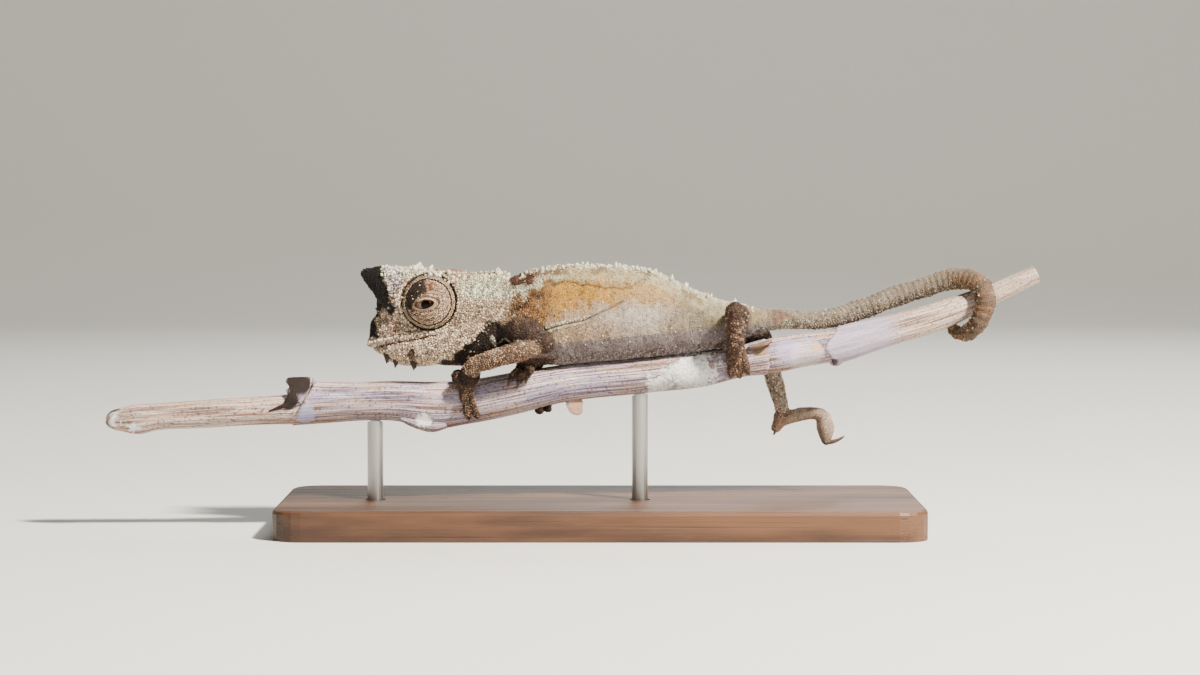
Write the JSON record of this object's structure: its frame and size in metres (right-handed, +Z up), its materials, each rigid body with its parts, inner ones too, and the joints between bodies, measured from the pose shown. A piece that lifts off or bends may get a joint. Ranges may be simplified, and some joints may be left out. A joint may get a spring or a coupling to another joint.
{
  "type": "leaf chameleon model",
  "caption": "Life-size still model of a tiny leaf chameleon gripping a cut length of dry grass stem, tail curled round it, on a flat stand with two short rods",
  "frame": {"origin": "Centre line of the animal over the middle of the stand's base, on the base's underside, which is the plane the part rests on", "axes": "+X along the stem from the animal's head to its tail, +Y to the animal's right side, +Z up; the animal's left side faces -Y"},
  "size_m": [0.0941, 0.027, 0.027],
  "materials": {
    "head_skin": "matte, beige, rough with fine scales",
    "body_skin": "matte, beige to ochre, rough with fine scales",
    "tail_skin": "matte, grey-brown, ringed",
    "limb_skin": "matte, dark brown, rough with fine scales",
    "lid_skin": "matte, brown, in fine rings",
    "eye": "wet gloss",
    "dry_stem": "dry grass stem, matte, fibrous",
    "stand_wood": "dark, satin",
    "stand_steel": "satin"
  },
  "bodies": {
    "root": {"head": "head_skin", "eye_turret_left": "lid_skin", "eye_turret_right": "lid_skin", "eyeball_left": "eye", "eyeball_right": "eye", "neck": "body_skin", "torso": "body_skin", "tail_base": "tail_skin", "tail_middle": "tail_skin", "tail_bend": "tail_skin", "tail_tip": "tail_skin", "foreleg_left_upper": "limb_skin", "foreleg_left_lower": "limb_skin", "forefoot_left": "limb_skin", "foreleg_right_upper": "limb_skin", "foreleg_right_lower": "limb_skin", "forefoot_right": "limb_skin", "hindleg_left_thigh": "limb_skin", "hindleg_left_shin": "limb_skin", "hindfoot_left": "limb_skin", "hindleg_right_thigh": "limb_skin", "hindleg_right_shin": "limb_skin", "hindfoot_right": "limb_skin", "perch_broken_end": "dry_stem", "perch_sheath": "dry_stem", "perch_second_sheath": "dry_stem", "perch_cane": "dry_stem", "stand_base": "stand_wood", "stand_rod_front": "stand_steel", "stand_rod_back": "stand_steel"}
  },
  "joints": []
}
